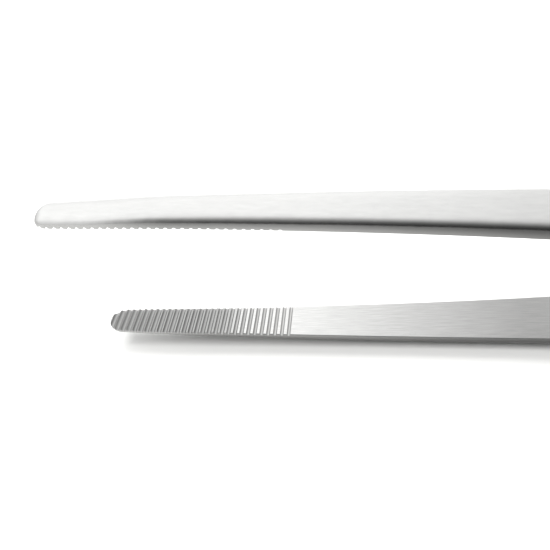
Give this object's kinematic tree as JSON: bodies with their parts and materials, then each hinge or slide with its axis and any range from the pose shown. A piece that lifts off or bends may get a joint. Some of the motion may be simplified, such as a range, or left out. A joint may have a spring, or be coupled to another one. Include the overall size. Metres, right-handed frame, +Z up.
{
  "type": "dissecting forceps",
  "caption": "Thumb-closed steel forceps with blunt cross-serrated jaws, bowed limbs, fluted finger grips and a welded, round-ended tail.",
  "frame": {"origin": "middle of the forceps' length and width, on the surface that the lower grip lies on", "axes": "tips towards -X, welded tail towards +X, limbs' width along Y, jaws opening along Z, +Z up"},
  "size_m": [0.1452, 0.0084, 0.0197],
  "materials": {
    "limb_steel": "satin stainless steel, brushed along the limb, ground across the jaws",
    "weld_steel": "dressed weld metal, satin"
  },
  "bodies": {
    "lower": {"lower_limb": "limb_steel", "tail_weld": "weld_steel"},
    "upper": {"upper_limb": "limb_steel"}
  },
  "joints": [
    {"name": "closing", "type": "hinge", "parent": "lower", "child": "upper", "pos_m": [0.05959, 0, 0.00202], "axis": [0, -1, 0], "range_deg": [0, 6.52], "stiffness_Nm_per_rad": 1.5, "springref_deg": -0.57}
  ]
}
